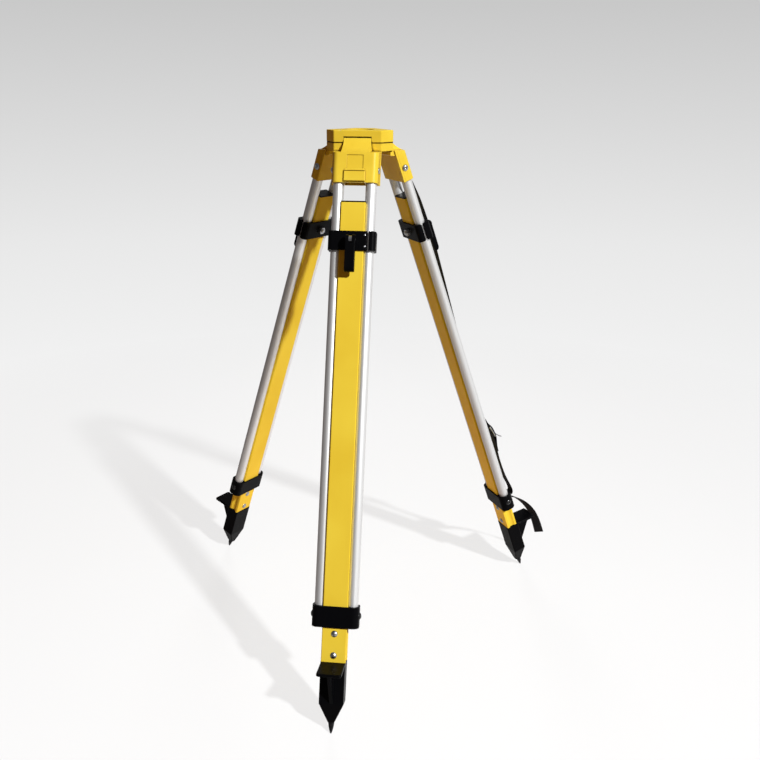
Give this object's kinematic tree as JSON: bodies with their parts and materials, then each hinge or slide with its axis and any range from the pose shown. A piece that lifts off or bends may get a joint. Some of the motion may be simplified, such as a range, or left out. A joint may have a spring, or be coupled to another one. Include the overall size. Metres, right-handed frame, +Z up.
{
  "type": "construction tripod",
  "caption": "Levelling tripod with a flat head, hinged legs of paired tubes, sliding profiles with cam-lever clamps, spiked tread feet, a fixing screw and a carry strap.",
  "frame": {"origin": "point on the ground below the middle of the head", "axes": "+Z up through the fixing screw, the front leg points to -Y"},
  "size_m": [0.8122, 0.694, 1.0315],
  "materials": {
    "yellow_coating": "satin yellow powder coat on cast aluminium",
    "yellow_plastic": "satin moulded glass-filled plastic",
    "yellow_profile": "smooth yellow coating on drawn aluminium",
    "tube_aluminium": "satin anodised drawn tube",
    "black_plastic": "fine-grained moulded plastic",
    "zinc_steel": "bright zinc plate",
    "black_steel": "blackened steel",
    "brass": "turned brass",
    "webbing": "woven polypropylene webbing"
  },
  "bodies": {
    "head": {"head_plate": "yellow_coating", "head_base": "yellow_coating", "hinge_pins": "zinc_steel", "head_screws": "zinc_steel", "arm_pivot": "zinc_steel"},
    "arm": {"swivel_arm": "zinc_steel"},
    "carrier": {"guide_bush": "brass"},
    "lift": {"retaining_ring": "zinc_steel"},
    "screw": {"fixing_screw": "zinc_steel", "screw_knob": "black_plastic"},
    "front_leg": {"front_bracket": "yellow_plastic", "front_tube_left": "tube_aluminium", "front_tube_right": "tube_aluminium", "front_tube_screws": "zinc_steel", "front_collar": "black_plastic"},
    "front_slide": {"front_profile": "yellow_profile", "front_end_cap": "black_plastic", "front_outer_jaw": "black_plastic", "front_inner_jaw": "black_plastic", "front_clamp_bolt": "zinc_steel", "front_rivets": "zinc_steel", "front_shoe": "black_plastic", "front_spike": "black_steel"},
    "front_lever": {"front_lever": "black_plastic", "front_lever_pin": "zinc_steel"},
    "right_leg": {"right_bracket": "yellow_plastic", "right_tube_left": "tube_aluminium", "right_tube_right": "tube_aluminium", "right_tube_screws": "zinc_steel", "right_collar": "black_plastic", "carry_strap": "webbing", "strap_loop": "webbing", "strap_tail": "webbing", "strap_buckle": "zinc_steel", "strap_screw": "zinc_steel"},
    "right_slide": {"right_profile": "yellow_profile", "right_end_cap": "black_plastic", "right_outer_jaw": "black_plastic", "right_inner_jaw": "black_plastic", "right_clamp_bolt": "zinc_steel", "right_rivets": "zinc_steel", "right_shoe": "black_plastic", "right_spike": "black_steel"},
    "right_lever": {"right_lever": "black_plastic", "right_lever_pin": "zinc_steel"},
    "left_leg": {"left_bracket": "yellow_plastic", "left_tube_left": "tube_aluminium", "left_tube_right": "tube_aluminium", "left_tube_screws": "zinc_steel", "left_collar": "black_plastic"},
    "left_slide": {"left_profile": "yellow_profile", "left_end_cap": "black_plastic", "left_outer_jaw": "black_plastic", "left_inner_jaw": "black_plastic", "left_clamp_bolt": "zinc_steel", "left_rivets": "zinc_steel", "left_shoe": "black_plastic", "left_spike": "black_steel"},
    "left_lever": {"left_lever": "black_plastic", "left_lever_pin": "zinc_steel"}
  },
  "joints": [
    {"name": "arm_swivel", "type": "hinge", "parent": "head", "child": "arm", "pos_m": [0, 0.046, 0.99378], "axis": [0, 0, 1], "range_deg": [-8, 8]},
    {"name": "carrier_slide", "type": "slide", "parent": "arm", "child": "carrier", "axis": [0, 1, 0], "range_m": [-0.008, 0.008]},
    {"name": "screw_lift", "type": "slide", "parent": "carrier", "child": "lift", "axis": [0, 0, 1], "range_m": [0, 0.014]},
    {"name": "screw_turn", "type": "hinge", "parent": "lift", "child": "screw", "pos_m": [0, 0, 1.03108], "axis": [0, 0, 1], "continuous": true},
    {"name": "front_leg_fold", "type": "hinge", "parent": "head", "child": "front_leg", "pos_m": [0, -0.03804, 1.00908], "axis": [1, 0, 0], "range_deg": [0, 20]},
    {"name": "front_leg_slide", "type": "slide", "parent": "front_leg", "child": "front_slide", "axis": [0, -0.342, -0.9397], "range_m": [0, 0.6]},
    {"name": "front_lever_open", "type": "hinge", "parent": "front_slide", "child": "front_lever", "pos_m": [0, -0.1424, 0.84647], "axis": [-1, 0, 0], "range_deg": [0, 105]},
    {"name": "right_leg_fold", "type": "hinge", "parent": "head", "child": "right_leg", "pos_m": [0.03295, 0.01902, 1.00908], "axis": [-0.5, 0.866, 0], "range_deg": [0, 20]},
    {"name": "right_leg_slide", "type": "slide", "parent": "right_leg", "child": "right_slide", "axis": [0.2962, 0.171, -0.9397], "range_m": [0, 0.6]},
    {"name": "right_lever_open", "type": "hinge", "parent": "right_slide", "child": "right_lever", "pos_m": [0.12333, 0.0712, 0.84647], "axis": [0.5, -0.866, 0], "range_deg": [0, 105]},
    {"name": "left_leg_fold", "type": "hinge", "parent": "head", "child": "left_leg", "pos_m": [-0.03295, 0.01902, 1.00908], "axis": [-0.5, -0.866, 0], "range_deg": [0, 20]},
    {"name": "left_leg_slide", "type": "slide", "parent": "left_leg", "child": "left_slide", "axis": [-0.2962, 0.171, -0.9397], "range_m": [0, 0.6]},
    {"name": "left_lever_open", "type": "hinge", "parent": "left_slide", "child": "left_lever", "pos_m": [-0.12333, 0.0712, 0.84647], "axis": [0.5, 0.866, 0], "range_deg": [0, 105]}
  ]
}
